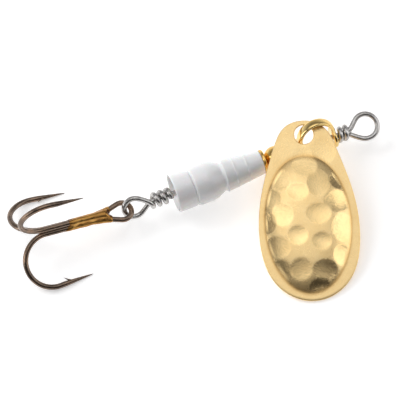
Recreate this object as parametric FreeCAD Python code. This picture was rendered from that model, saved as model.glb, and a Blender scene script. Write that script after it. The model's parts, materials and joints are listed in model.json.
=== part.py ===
import FreeCAD, Part
import math
import os

Vector = FreeCAD.Vector

# An inline spinner, a fishing lure, in millimetres, lying on a flat surface at Z = 0.
# +X runs along the shaft towards the line tie, +Z is up, and the blade lies out to -Y.
# The pieces are drawn with the shaft along X, X = 0 at the body's open mouth and the
# shaft's axis at Y = Z = 0. At the end they are moved together, so that the origin is
# the middle of the whole lure's box, on the surface.

# Fits
running_clearance = 0.06      # radial, between the shaft and what turns on it
axial_gap = 0.10              # between neighbours on the shaft
wrap_gap = 0.05               # between a wrap's turn and the shaft that it goes round
wrap_corners = 16             # of the polygon whose rounded corners make one turn
link_gap = 0.15               # between the two linked wires at the hook's eye

# Shaft wire, with a wrapped loop at each end
shaft_diameter = 0.95
tail_wrap_turns = 3.0
tail_wrap_pitch = 1.20
nose_wrap_turns = 1.75
nose_wrap_pitch = 1.05
tail_wrap_to_mouth = 0.80     # from the last turn's centre line to the body's mouth
hook_loop_width = 4.80        # outside
hook_loop_reach = 4.85        # from the neck to the far side's centre line
hook_loop_roll = 60.0
line_loop_width = 5.30        # outside
line_loop_reach = 5.45
line_loop_roll = 22.0
line_loop_sag = 0.10          # how far the line tie's centre is off the shaft's axis

# Body: a plastic shell with an open bell at the tail, on a brass core
bell_radius = 3.52
bell_length = 3.05
bell_wall = 0.34
bell_depth = 2.30
groove_depth = 0.28
groove_width = 0.50
bulge_radius = 3.60
bulge_length = 5.10
waist_radius = 2.72
collar_radius = 2.96
collar_step = 0.55
cone_length = 7.10
cone_front_radius = 2.12
ring_height = 0.07
ring_width = 0.45
core_radius = 1.05
flange_radius = 2.20
flange_thickness = 0.60

# Beads between the body and the clevis
bearing_radius = 2.05
spacer_radius = 1.45
bead_land = 0.30              # width of each bead's flat ring round its bore

# Clevis: a strip bent to an arch, with a round foot at each end
clevis_span = 6.90            # outside the feet
clevis_crown = 1.90           # from the leg's point where the blade hangs out to the crown
strip_thickness = 0.65
strip_width = 1.40
foot_radius = 1.95
clevis_lean = 70.0            # of the arch above +Y

# Blade: an egg-shaped sheet with a raised oval bowl
blade_length = 31.9
blade_width = 17.6
blade_sheet = 0.50
blade_hole_radius = 1.70
blade_hole_inset = 2.55       # from the head's edge to the hole's centre
bowl_length = 23.8
bowl_width = 14.6
bowl_height = 1.20
bowl_centre_inset = 18.2      # from the head's edge to the bowl's centre
blade_turn = -18.2            # about the vertical, of the blade's width from +X
blade_roll = 3.0              # about the blade's length, its tail-side edge raised over the bead
blade_stand_off = 1.25        # from the bearing bead's side to where the leg goes through the blade
hole_off_leg_down = 0.05      # from the leg's centre to the hole's, towards the tip
hole_off_leg_across = 0.50    # and towards the nose
floor_clearance = 0.02

# Treble hook
hook_wire_diameter = 0.95
hook_length = 21.2            # overall, outside the eye to outside the bends
eye_width = 4.20              # outside
eye_taper = 3.60              # from the eye's round part to the parallel shanks
eye_corner_reach = 0.90       # of the bend where each shank turns out to the eye
bend_radius = 4.65
spear_lean = 5.0              # of each spear towards the shank
spear_length = 6.00
taper_length = 5.00
tip_radius = 0.05
barb_root = 0.90              # from the taper's start to the barb's front root
barb_length = 1.00
barb_rise = 0.70
barb_thickness = 0.28
braze_length = 7.20
braze_skin = 0.07
shank_space = 0.02            # between neighbouring shanks, filled by the braze
hook_turn = 2.4               # about the vertical, of the tail end towards +Y

# Places worked out from the sizes above
wire_radius = shaft_diameter / 2
bore_radius = wire_radius + running_clearance
wrap_radius = shaft_diameter + wrap_gap
tail_neck_x = -tail_wrap_to_mouth - tail_wrap_turns * tail_wrap_pitch
hook_loop_end_x = tail_neck_x - hook_loop_reach

bead_flat_radius = bore_radius + bead_land
bearing_length = 2 * math.sqrt(bearing_radius ** 2 - bead_flat_radius ** 2)
spacer_length = 2 * math.sqrt(spacer_radius ** 2 - bead_flat_radius ** 2)

bulge_start_x = bell_length + groove_width
waist_x = bulge_start_x + bulge_length
collar_x = waist_x + collar_step
body_front_x = collar_x + cone_length
flange_front_x = body_front_x + flange_thickness
bearing_start_x = flange_front_x + axial_gap
spacer_start_x = bearing_start_x + bearing_length + axial_gap
clevis_start_x = spacer_start_x + spacer_length + axial_gap
clevis_middle_x = clevis_start_x + clevis_span / 2
nose_wrap_end_x = clevis_start_x + clevis_span + axial_gap + wire_radius
nose_neck_x = nose_wrap_end_x + nose_wrap_turns * nose_wrap_pitch
line_loop_end_x = nose_neck_x + line_loop_reach

shaft_height = max(bell_radius, bulge_radius)

blade_leg_height = bearing_radius + blade_stand_off
clevis_height = blade_leg_height + clevis_crown
arch_radius = clevis_span / 2 - strip_thickness / 2
arch_centre_height = clevis_height - clevis_span / 2
lean_direction = Vector(0, math.cos(math.radians(clevis_lean)), math.sin(math.radians(clevis_lean)))

hook_radius = hook_wire_diameter / 2
shank_radius = (hook_wire_diameter + shank_space) / math.sqrt(3)
eye_radius = (eye_width - hook_wire_diameter) / 2
link_distance = wire_radius + hook_radius + link_gap


def around_shaft(x, across, out, roll):
    """A point beside the shaft: 'across' lies in a plane rolled about X, 'out' is square to it."""
    angle = math.radians(roll)
    y = across * math.cos(angle) - out * math.sin(angle)
    z = across * math.sin(angle) + out * math.cos(angle)
    return Vector(x, y, z)


def corner_arc(before, corner, after, reach):
    """An arc that rounds a corner, tangent to both runs at 'reach' from it; None on a straight run."""
    arriving = (corner - before).normalize()
    leaving = (after - corner).normalize()
    half_turn = arriving.getAngle(leaving) / 2
    if half_turn < 0.002:
        return None
    radius = reach / math.tan(half_turn)
    inward = (leaving - arriving).normalize()
    middle = corner + inward * (radius / math.cos(half_turn) - radius)
    return Part.Arc(corner - arriving * reach, middle, corner + leaving * reach).toShape()


def rounded_path(points):
    """Straight runs through the points, each corner rounded by the largest arc that fits its runs."""
    edges = []
    start = points[0]
    for before, corner, after in zip(points, points[1:], points[2:]):
        reach = 0.48 * min((corner - before).Length, (after - corner).Length)
        bend = corner_arc(before, corner, after, reach)
        if bend is None:
            continue
        edges.append(Part.makeLine(start, bend.valueAt(bend.FirstParameter)))
        edges.append(bend)
        start = bend.valueAt(bend.LastParameter)
    edges.append(Part.makeLine(start, points[-1]))
    return edges


def tube_along(edges, radius):
    """A solid round wire along edges that join smoothly."""
    path = Part.Wire(edges)
    first = edges[0]
    start = first.valueAt(first.FirstParameter)
    direction = first.tangentAt(first.FirstParameter)
    profile = Part.Wire([Part.makeCircle(radius, start, direction)])
    return path.makePipeShell([profile], True, False)


def turned(outline):
    """A solid of revolution about X from a closed outline of edges in the XY plane."""
    face = Part.Face(Part.Wire(outline))
    return face.revolve(Vector(0, 0, 0), Vector(1, 0, 0), 360)


def line(start, end):
    return Part.makeLine(Vector(*start, 0), Vector(*end, 0))


def arc(start, middle, end):
    return Part.Arc(Vector(*start, 0), Vector(*middle, 0), Vector(*end, 0)).toShape()


def chain(corners):
    """Straight edges from each corner to the next."""
    return [line(start, end) for start, end in zip(corners, corners[1:])]


def bored(solid, start_x, length):
    """The solid with the shaft's running bore through it."""
    margin = 1.0
    start = Vector(start_x - margin, 0, 0)
    return solid.cut(Part.makeCylinder(bore_radius, length + 2 * margin, start, Vector(1, 0, 0)))


def loop_points(centre_x, centre_across, radius, start_angle, end_angle, count):
    """Places along a ring, as (x, across); the angle is counted from +X."""
    places = []
    for step in range(count + 1):
        angle = math.radians(start_angle + (end_angle - start_angle) * step / count)
        places.append((centre_x + radius * math.cos(angle), centre_across + radius * math.sin(angle)))
    return places


def wrap_point(start_x, pitch, turns, start_angle, roll):
    """The centre line of a wrap, 'turns' from its start, as a polygon's corners round the shaft."""
    radius = wrap_radius / math.cos(math.pi / wrap_corners)
    angle = math.radians(start_angle + 360 * turns)
    return around_shaft(start_x + pitch * turns, radius * math.cos(angle), radius * math.sin(angle), roll)


def tail_end_points():
    """The wire from its cut end, round the wraps and the hook's loop, to the straight shaft."""
    radius = (hook_loop_width - shaft_diameter) / 2
    centre_x = hook_loop_end_x + radius
    steps = round(tail_wrap_turns * wrap_corners)
    points = []
    for step in range(steps, -1, -1):
        points.append(wrap_point(tail_neck_x, tail_wrap_pitch, step / wrap_corners, 90, hook_loop_roll))
    points.append(around_shaft(tail_neck_x - 0.28, 0.42, 0.96, hook_loop_roll))
    points.append(around_shaft(tail_neck_x - 0.66, 0.82, 0.72, hook_loop_roll))
    ring = loop_points(centre_x, 0, radius, 62, 300, 14)
    lifts = {0: 0.46, 1: 0.26, 2: 0.10}
    for number, (x, across) in enumerate(ring):
        points.append(around_shaft(x, across, lifts.get(number, 0), hook_loop_roll))
    points.append(around_shaft(tail_neck_x - 0.80, -0.62, 0, hook_loop_roll))
    points.append(around_shaft(tail_neck_x - 0.25, -0.10, 0, hook_loop_roll))
    points.append(Vector(tail_neck_x + 0.60, 0, 0))
    return points


def nose_end_points():
    """The wire from the straight shaft, round the line tie and the wraps, to its cut end."""
    radius = (line_loop_width - shaft_diameter) / 2
    centre_x = line_loop_end_x - radius
    points = [Vector(nose_neck_x - 0.60, 0, 0)]
    points.append(around_shaft(nose_neck_x + 0.20, 0.08, 0, line_loop_roll))
    points.append(around_shaft(nose_neck_x + 0.85, 0.50, 0, line_loop_roll))
    ring = loop_points(centre_x, -line_loop_sag, radius, 126, -118, 14)
    drops = {14: 0.46, 13: 0.26, 12: 0.10}
    for number, (x, across) in enumerate(ring):
        points.append(around_shaft(x, across, -drops.get(number, 0), line_loop_roll))
    points.append(around_shaft(nose_neck_x + 0.74, -0.92, -0.72, line_loop_roll))
    points.append(around_shaft(nose_neck_x + 0.30, -0.46, -0.96, line_loop_roll))
    steps = round(nose_wrap_turns * wrap_corners)
    for step in range(steps + 1):
        points.append(wrap_point(nose_neck_x, -nose_wrap_pitch, step / wrap_corners, -90, line_loop_roll))
    return points


def shaft_wire():
    return tube_along(rounded_path(tail_end_points() + nose_end_points()), wire_radius)


def body_shell():
    """The bell, groove, bulge, collar and cone, over the core."""
    cone_slope = (cone_front_radius - collar_radius) / cone_length
    outline = chain([
        (bell_depth, core_radius),
        (bell_depth - 0.25, core_radius + 0.55),
        (bell_depth - 0.45, bell_radius - bell_wall - 0.45),
        (0, bell_radius - bell_wall),
    ])
    rim_middle = (-bell_wall / 2, bell_radius - bell_wall / 2)
    outline.append(arc((0, bell_radius - bell_wall), rim_middle, (0, bell_radius)))
    outline += chain([
        (0, bell_radius),
        (bell_length, bell_radius - 0.06),
        (bell_length + groove_width * 0.4, bell_radius - groove_depth),
        (bulge_start_x, bulge_radius - 0.05),
        (bulge_start_x + 0.35, bulge_radius),
        (bulge_start_x + bulge_length * 0.45, bulge_radius),
    ])
    shoulder_x = bulge_start_x + bulge_length * 0.45
    fall = bulge_radius - waist_radius
    shoulder_middle = (shoulder_x + bulge_length * 0.34, bulge_radius - fall * 0.38)
    outline.append(arc((shoulder_x, bulge_radius), shoulder_middle, (waist_x, waist_radius)))
    cone_corners = [
        (waist_x, waist_radius),
        (collar_x - 0.20, waist_radius + 0.10),
        (collar_x, collar_radius),
    ]
    for share in (0.24, 0.56):
        ring_x = collar_x + cone_length * share
        ring_base = collar_radius + cone_slope * cone_length * share
        cone_corners.append((ring_x, ring_base))
        cone_corners.append((ring_x + ring_width * 0.25, ring_base + ring_height))
        cone_corners.append((ring_x + ring_width, ring_base + cone_slope * ring_width))
    cone_corners += [
        (body_front_x - 0.15, cone_front_radius - cone_slope * 0.15),
        (body_front_x, cone_front_radius - 0.10),
        (body_front_x, core_radius),
        (bell_depth, core_radius),
    ]
    return turned(outline + chain(cone_corners))


def body_core():
    """A brass tube in the shell, with a flange against the shell's front."""
    edge = flange_thickness * 0.3
    corners = [
        (bell_depth - 0.20, 0),
        (bell_depth - 0.20, core_radius - 0.12),
        (bell_depth - 0.08, core_radius),
        (body_front_x, core_radius),
        (body_front_x, flange_radius - edge),
        (body_front_x + edge, flange_radius),
        (flange_front_x - edge, flange_radius),
        (flange_front_x, flange_radius - edge),
        (flange_front_x, 0),
        (bell_depth - 0.20, 0),
    ]
    return bored(turned(chain(corners)), 0, flange_front_x)


def bead(start_x, length, radius):
    """A bored ball on the shaft, cut flat where it meets its neighbours."""
    end_x = start_x + length
    outline = chain([
        (start_x, bead_flat_radius),
        (start_x, bore_radius),
        (end_x, bore_radius),
        (end_x, bead_flat_radius),
    ])
    middle_x = start_x + length / 2
    outline.append(arc((end_x, bead_flat_radius), (middle_x, radius), (start_x, bead_flat_radius)))
    return turned(outline)


def clevis():
    """The arch is drawn over +Y, then leaned about the shaft."""
    left_x = clevis_start_x
    right_x = clevis_start_x + clevis_span
    top = arch_centre_height
    outer = clevis_span / 2
    inner = outer - strip_thickness
    left_inside = left_x + strip_thickness
    right_inside = right_x - strip_thickness
    outline = [
        line((left_x, 0), (left_x, top)),
        arc((left_x, top), (clevis_middle_x, top + outer), (right_x, top)),
        line((right_x, top), (right_x, 0)),
        line((right_x, 0), (right_inside, 0)),
        line((right_inside, 0), (right_inside, top)),
        arc((right_inside, top), (clevis_middle_x, top + inner), (left_inside, top)),
        line((left_inside, top), (left_inside, 0)),
        line((left_inside, 0), (left_x, 0)),
    ]
    arch = Part.Face(Part.Wire(outline)).extrude(Vector(0, 0, strip_width))
    arch.translate(Vector(0, 0, -strip_width / 2))
    for foot_x in (left_x, right_inside):
        foot = Part.makeCylinder(foot_radius, strip_thickness, Vector(foot_x, 0, 0), Vector(1, 0, 0))
        arch = arch.fuse(foot)
    piece = bored(arch.removeSplitter(), left_x, clevis_span)
    piece.rotate(Vector(0, 0, 0), Vector(1, 0, 0), clevis_lean)
    return piece


def leg_point():
    """The centre of the arch's tail-side leg, where the blade hangs on it."""
    rise = blade_leg_height - arch_centre_height
    along = clevis_middle_x - math.sqrt(arch_radius ** 2 - rise ** 2)
    return Vector(along, 0, 0) + lean_direction * blade_leg_height


def blade_outline():
    """An egg, as (share of the length from the head, share of the half width)."""
    shares = [
        (0.0, 0.0), (0.045, 0.40), (0.13, 0.62), (0.27, 0.78),
        (0.45, 0.94), (0.64, 1.0), (0.82, 0.89), (0.95, 0.55),
    ]
    head_y = blade_hole_inset
    side = [Vector(half * blade_width / 2, head_y - down * blade_length, 0) for down, half in shares]
    tip = Vector(0, head_y - blade_length, 0)
    other_side = [Vector(-point.x, point.y, 0) for point in reversed(side[1:])]
    curve = Part.BSplineCurve()
    curve.interpolate(Points=side + [tip] + other_side, PeriodicFlag=True)
    return curve.toShape()


def blade_rotation(pitch):
    """The blade rolled about its length, pitched tip down, then turned about the vertical."""
    rolled = FreeCAD.Rotation(Vector(0, 1, 0), blade_roll)
    pitched = FreeCAD.Rotation(Vector(1, 0, 0), pitch)
    faced = FreeCAD.Rotation(Vector(0, 0, 1), blade_turn)
    return faced.multiply(pitched).multiply(rolled)


def blade_pitch():
    """The slope, in degrees, at which the blade's tip rests on the surface."""
    hole_offset = Vector(hole_off_leg_across, -hole_off_leg_down, -blade_sheet / 2)
    rim = [point + hole_offset for point in blade_outline().discretize(240)]
    leg_height = shaft_height + leg_point().z
    low, high = 0.0, 60.0
    for _ in range(30):
        middle = (low + high) / 2
        rotation = blade_rotation(middle)
        if leg_height + min(rotation.multVec(point).z for point in rim) > floor_clearance:
            low = middle
        else:
            high = middle
    return low


def place_blade(shape):
    """From the blade's own frame, hole at the origin and head towards +Y, to its place."""
    shape.translate(Vector(hole_off_leg_across, -hole_off_leg_down, 0))
    shape.Placement = FreeCAD.Placement(leg_point(), blade_rotation(blade_pitch())).multiply(shape.Placement)
    return shape


def bowl_ball(lift):
    """The stretched ball whose cap is the bowl, raised by 'lift'."""
    half_width = bowl_width / 2
    ball_radius = (half_width ** 2 + bowl_height ** 2) / (2 * bowl_height)
    ball = Part.makeSphere(ball_radius)
    stretch = FreeCAD.Matrix()
    stretch.scale(1, bowl_length / bowl_width, 1)
    ball = ball.transformGeometry(stretch)
    centre_y = blade_hole_inset - bowl_centre_inset
    ball.translate(Vector(0, centre_y, lift + bowl_height - ball_radius))
    return ball


def blade():
    sheet = Part.Face(Part.Wire([blade_outline()])).extrude(Vector(0, 0, blade_sheet))
    sheet.translate(Vector(0, 0, -blade_sheet / 2))
    deep = blade_length
    above = Part.makeBox(2 * deep, 4 * deep, deep, Vector(-deep, -2 * deep, -blade_sheet / 2))
    cap = bowl_ball(blade_sheet / 2).common(above)
    piece = sheet.fuse(cap).cut(bowl_ball(-blade_sheet / 2))
    hole = Part.makeCylinder(blade_hole_radius, 4, Vector(0, 0, -2))
    return place_blade(piece.cut(hole))


def in_arm(x, radius, roll):
    angle = math.radians(roll)
    return Vector(x, radius * math.cos(angle), radius * math.sin(angle))


# The hook's own frame: its axis along X, the middle of the eye's nose end at X = 0.
bend_x = -hook_length + hook_wire_diameter + bend_radius
eye_centre_x = -eye_radius
shank_start_x = eye_centre_x - eye_taper
arm_droop = 30.0              # of the two lower arms below the eye's plane
arm_rolls = {"left": -arm_droop, "top": 90.0, "right": arm_droop - 180}
eye_drop = shank_radius * math.sin(math.radians(arm_droop))
shank_side = shank_radius * math.cos(math.radians(arm_droop))
spear_start_x = bend_x + bend_radius * math.sin(math.radians(spear_lean))
spear_start_r = shank_radius + bend_radius * (1 + math.cos(math.radians(spear_lean)))


def spear_place(distance, lift=0.0):
    """(x, radius) at a distance along the spear, lifted towards the shank."""
    lean = math.radians(spear_lean)
    x = spear_start_x + distance * math.cos(lean) - lift * math.sin(lean)
    radius = spear_start_r - distance * math.sin(lean) - lift * math.cos(lean)
    return x, radius


def arm_edges(roll, shank_x):
    """From the spear's full-width end, round the bend, to the shank at shank_x."""
    lean = math.radians(spear_lean)
    taper_start = spear_length - taper_length
    centre_r = shank_radius + bend_radius
    spear_top = in_arm(*spear_place(taper_start), roll)
    spear_base = in_arm(spear_start_x, spear_start_r, roll)
    bend_end_x = bend_x - bend_radius * math.cos(lean / 2)
    bend_end = in_arm(bend_end_x, centre_r + bend_radius * math.sin(lean / 2), roll)
    shank_bend = in_arm(bend_x, shank_radius, roll)
    shank_end = in_arm(shank_x, shank_radius, roll)
    bend = Part.Arc(spear_base, bend_end, shank_bend).toShape()
    return [Part.makeLine(spear_top, spear_base), bend, Part.makeLine(shank_bend, shank_end)]


def arm_tip(roll):
    """The tapered point and its barb."""
    taper_start = spear_length - taper_length
    base = in_arm(*spear_place(taper_start), roll)
    point = in_arm(*spear_place(spear_length), roll)
    direction = point - base
    cone = Part.makeCone(hook_radius, tip_radius, taper_length, base, direction)
    front = taper_start + barb_root
    corners = [
        spear_place(front, hook_radius * 0.3),
        spear_place(front, hook_radius * 0.82),
        spear_place(front - barb_length, hook_radius + barb_rise),
        spear_place(front - barb_length * 0.65, hook_radius * 0.3),
    ]
    square = in_arm(0, 1, roll + 90)
    places = [in_arm(x, radius, roll) - square * (barb_thickness / 2) for x, radius in corners]
    barb = Part.Face(Part.makePolygon(places + places[:1])).extrude(square * barb_thickness)
    return cone.fuse(barb)


def eye_side_edges(side):
    """From the shank on one side (1 or -1 along Y), by a tangent run, to the eye's round part."""
    corner = Vector(shank_start_x, shank_side * side, -eye_drop)
    centre = Vector(eye_centre_x, 0, -eye_drop)
    apart = corner - centre
    to_corner = math.atan2(apart.y * side, apart.x)
    touch = to_corner - math.acos(eye_radius / apart.Length)
    ring_start = centre + Vector(eye_radius * math.cos(touch), eye_radius * math.sin(touch) * side, 0)
    bend = corner_arc(corner - Vector(1, 0, 0), corner, ring_start, eye_corner_reach)
    lead = Part.makeLine(bend.valueAt(bend.LastParameter), ring_start)
    return [bend, lead], ring_start


def reversed_edges(edges):
    """The same path walked from its other end."""
    turned_round = []
    for edge in reversed(edges):
        start = edge.valueAt(edge.FirstParameter)
        middle = edge.valueAt((edge.FirstParameter + edge.LastParameter) / 2)
        end = edge.valueAt(edge.LastParameter)
        if isinstance(edge.Curve, Part.Circle):
            turned_round.append(Part.Arc(end, middle, start).toShape())
        else:
            turned_round.append(Part.makeLine(end, start))
    return turned_round


def lowest_bend(rise):
    """How low the two lower bends reach below the shaft's axis, with the hook's tail raised by 'rise'."""
    down = math.sin(math.radians(arm_droop))
    centre_z = eye_drop * math.cos(rise) + (-bend_x - link_distance) * math.sin(rise)
    centre_z -= (shank_radius + bend_radius) * down * math.cos(rise)
    reach = bend_radius * math.hypot(math.sin(rise), down * math.cos(rise))
    return reach + hook_radius - centre_z


def hook_rise():
    """The slope, in degrees, at which the two lower bends rest on the surface."""
    low, high = 0.0, math.radians(45)
    for _ in range(40):
        middle = (low + high) / 2
        if lowest_bend(middle) > shaft_height - floor_clearance:
            low = middle
        else:
            high = middle
    return math.degrees(high)


def place_hook(shape):
    """The eye's nose end sits against the inside of the shaft's tail loop."""
    shape.translate(Vector(link_distance, 0, eye_drop))
    shape.rotate(Vector(0, 0, 0), Vector(0, 1, 0), hook_rise())
    shape.rotate(Vector(0, 0, 0), Vector(0, 0, 1), -hook_turn)
    shape.translate(Vector(hook_loop_end_x, 0, 0))
    return shape


def hook_double():
    left_roll = arm_rolls["left"]
    right_roll = arm_rolls["right"]
    shank_end_x = shank_start_x - eye_corner_reach
    left_lead, ring_start = eye_side_edges(1)
    right_lead, ring_end = eye_side_edges(-1)
    ring = Part.Arc(ring_start, Vector(0, 0, -eye_drop), ring_end).toShape()
    left = arm_edges(left_roll, shank_end_x) + left_lead
    right = arm_edges(right_roll, shank_end_x) + right_lead
    wire = tube_along(left + [ring] + reversed_edges(right), hook_radius)
    return place_hook(wire.fuse([arm_tip(left_roll), arm_tip(right_roll)]).removeSplitter())


def hook_single():
    roll = arm_rolls["top"]
    wire = tube_along(arm_edges(roll, shank_start_x - 1.2), hook_radius)
    return place_hook(wire.fuse(arm_tip(roll)).removeSplitter())


def braze_section(x, skin, spread):
    """A rounded triangle round the shanks, as a wire square to the hook's axis."""
    radius = hook_radius + skin
    centres = []
    for roll in sorted(arm_rolls.values()):
        side = shank_radius * math.cos(math.radians(roll)) * spread
        centres.append(Vector(x, side, shank_radius * math.sin(math.radians(roll))))
    edges = []
    for number in range(3):
        before = centres[number - 1]
        here = centres[number]
        after = centres[(number + 1) % 3]
        into = (here - before).normalize().cross(Vector(1, 0, 0))
        away = (after - here).normalize().cross(Vector(1, 0, 0))
        middle = (into + away).normalize()
        edges.append(Part.Arc(here + into * radius, here + middle * radius, here + away * radius).toShape())
        edges.append(Part.makeLine(here + away * radius, after + away * radius))
    return Part.Wire(Part.__sortEdges__(edges))


def hook_braze():
    """The braze that joins the single hook to the double one, up to the eye's crotch."""
    nose_x = shank_start_x + 0.6
    sections = [
        braze_section(nose_x - braze_length, -0.02, 1.0),
        braze_section(nose_x - braze_length + 0.9, braze_skin, 1.0),
        braze_section(shank_start_x - 0.3, braze_skin, 1.0),
        braze_section(nose_x, -0.03, 1.15),
    ]
    return place_hook(Part.makeLoft(sections, True, True))


def make_nodes():
    return {
        "shaft_wire": shaft_wire(),
        "body_shell": body_shell(),
        "body_core": body_core(),
        "bearing_bead": bead(bearing_start_x, bearing_length, bearing_radius),
        "spacer_bead": bead(spacer_start_x, spacer_length, spacer_radius),
        "clevis": clevis(),
        "blade": blade(),
        "hook_double": hook_double(),
        "hook_single": hook_single(),
        "hook_braze": hook_braze(),
    }


def whole_box(nodes):
    box = FreeCAD.BoundBox()
    for shape in nodes.values():
        box.add(shape.optimalBoundingBox(False))
    return box


def move_to_frame(nodes):
    """Puts the origin under the middle of the lure, at the surface that it lies on."""
    box = whole_box(nodes)
    shift = Vector(-box.Center.x, -box.Center.y, shaft_height)
    for shape in nodes.values():
        shape.translate(shift)
    return shift


nodes = make_nodes()
frame_shift = move_to_frame(nodes)
os.makedirs("parts", exist_ok=True)
for name, shape in nodes.items():
    shape.exportStep("parts/" + name + ".step")
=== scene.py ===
import bmesh
import bpy
import json
import math
import numpy as np
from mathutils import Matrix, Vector


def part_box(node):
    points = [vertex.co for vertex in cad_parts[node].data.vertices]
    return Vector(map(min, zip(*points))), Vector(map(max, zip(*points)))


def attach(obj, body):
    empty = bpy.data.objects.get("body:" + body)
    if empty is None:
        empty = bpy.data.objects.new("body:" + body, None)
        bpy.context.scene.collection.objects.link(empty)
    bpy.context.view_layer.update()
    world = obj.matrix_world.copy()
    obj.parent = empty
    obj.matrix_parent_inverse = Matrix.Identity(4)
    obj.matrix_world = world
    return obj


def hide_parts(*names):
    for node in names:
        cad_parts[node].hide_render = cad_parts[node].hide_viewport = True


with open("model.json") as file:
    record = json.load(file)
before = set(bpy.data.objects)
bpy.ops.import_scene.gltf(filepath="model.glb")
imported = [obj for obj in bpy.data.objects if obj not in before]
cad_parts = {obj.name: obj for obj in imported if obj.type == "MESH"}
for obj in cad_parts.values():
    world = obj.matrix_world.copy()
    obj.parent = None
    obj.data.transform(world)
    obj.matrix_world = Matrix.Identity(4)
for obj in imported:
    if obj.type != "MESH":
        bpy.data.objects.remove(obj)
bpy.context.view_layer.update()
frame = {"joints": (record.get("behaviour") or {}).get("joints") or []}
mm = 0.001
joints = {joint["name"]: joint for joint in frame["joints"]}
mouth = np.array(joints["body_spin"]["pos_m"])      # on the shaft's axis, at the bell's open mouth


def turning(axis, degrees):
    # the 3 x 3 turn about X, Y or Z by the right-hand rule
    c, s = math.cos(math.radians(degrees)), math.sin(math.radians(degrees))
    rows = {"X": [[1, 0, 0], [0, c, -s], [0, s, c]],
            "Y": [[c, 0, s], [0, 1, 0], [-s, 0, c]],
            "Z": [[c, -s, 0], [s, c, 0], [0, 0, 1]]}
    return np.array(rows[axis])


def aroundShaft(x, across, out, roll):
    # a point beside the shaft: across lies in a plane rolled about X, out is square to that plane
    c, s = math.cos(math.radians(roll)), math.sin(math.radians(roll))
    x, across, out = np.broadcast_arrays(x, across, out)
    return np.stack([x, across * c - out * s, across * s + out * c], -1).astype(float)


def fromMouth(points):
    # millimetres from the bell's mouth, put in the lure's own frame in metres
    return mouth + np.asarray(points) * mm


def gridFaces(rows, cols, wrapRows, wrapCols):
    # one four-sided face between each pair of neighbours on the grid
    i, j = np.meshgrid(np.arange(rows if wrapRows else rows - 1),
                       np.arange(cols if wrapCols else cols - 1), indexing="ij")
    nextI, nextJ = (i + 1) % rows, (j + 1) % cols
    corners = [i * cols + j, nextI * cols + j, nextI * cols + nextJ, i * cols + nextJ]
    return np.stack(corners, -1).reshape(-1, 4)


def buildPiece(name, grids, body, replaced, material):
    # grids: a list of dicts with points (rows, cols, 3), wrapRows, wrapCols and any marks (rows, cols, 3)
    points, faces, marks, start = [], [], [], 0
    for grid in grids:
        rows, cols = grid["points"].shape[:2]
        points.append(grid["points"].reshape(-1, 3))
        faces.append(gridFaces(rows, cols, grid.get("wrapRows", False), grid.get("wrapCols", True)) + start)
        marks.append(grid.get("marks", np.zeros((rows, cols, 3))).reshape(-1, 3))
        start += rows * cols
    points, faces, marks = np.concatenate(points), np.concatenate(faces), np.concatenate(marks)
    mesh = bpy.data.meshes.new(name)
    mesh.from_pydata(points.tolist(), [], faces.tolist())
    mark = mesh.attributes.new("marks", "FLOAT_VECTOR", "POINT")
    mark.data.foreach_set("vector", marks.astype(np.float32).ravel())
    shell = bmesh.new()
    shell.from_mesh(mesh)
    bmesh.ops.remove_doubles(shell, verts=shell.verts, dist=1e-7)
    bmesh.ops.recalc_face_normals(shell, faces=shell.faces)
    shell.to_mesh(mesh)
    shell.free()
    mesh.polygons.foreach_set("use_smooth", np.ones(len(mesh.polygons), bool))
    mesh.materials.append(material)
    piece = bpy.data.objects.new(name, mesh)
    bpy.context.scene.collection.objects.link(piece)
    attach(piece, body)
    if replaced:
        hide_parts(*replaced)
    return piece


def smoothLine(points, perSpan):
    # uniform cubic B-spline, weights (1-u)^3, 3u^3-6u^2+4, -3u^3+3u^2+3u+1 and u^3, each over 6
    points = np.asarray(points, float)
    first, last = 2 * points[0] - points[1], 2 * points[-1] - points[-2]
    p = np.concatenate([[first], points, [last]])
    u = np.arange(perSpan)[:, None] / perSpan
    weights = [(1 - u) ** 3 / 6, (3 * u ** 3 - 6 * u ** 2 + 4) / 6,
               (-3 * u ** 3 + 3 * u ** 2 + 3 * u + 1) / 6, u ** 3 / 6]
    spans = sum(w[None] * p[k:len(p) - 3 + k, None] for k, w in enumerate(weights))
    return np.concatenate([spans.reshape(-1, 3), points[-1:]])


def travel(path):
    # distance from the start to each point of a path
    return np.concatenate([[0], np.cumsum(np.linalg.norm(np.diff(path, axis=0), axis=1))])


def carriedFrames(path):
    # two directions square to the path, carried along it without twist: n - (n . t) t at each step
    tangents = np.gradient(path, axis=0)
    tangents /= np.linalg.norm(tangents, axis=1, keepdims=True)
    side = np.cross(tangents[0], [0.31, 0.52, 0.80])
    normals = []
    for tangent in tangents:
        side = side - tangent * np.dot(side, tangent)
        side = side / np.linalg.norm(side)
        normals.append(side)
    normals = np.array(normals)
    return tangents, normals, np.cross(tangents, normals)


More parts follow.
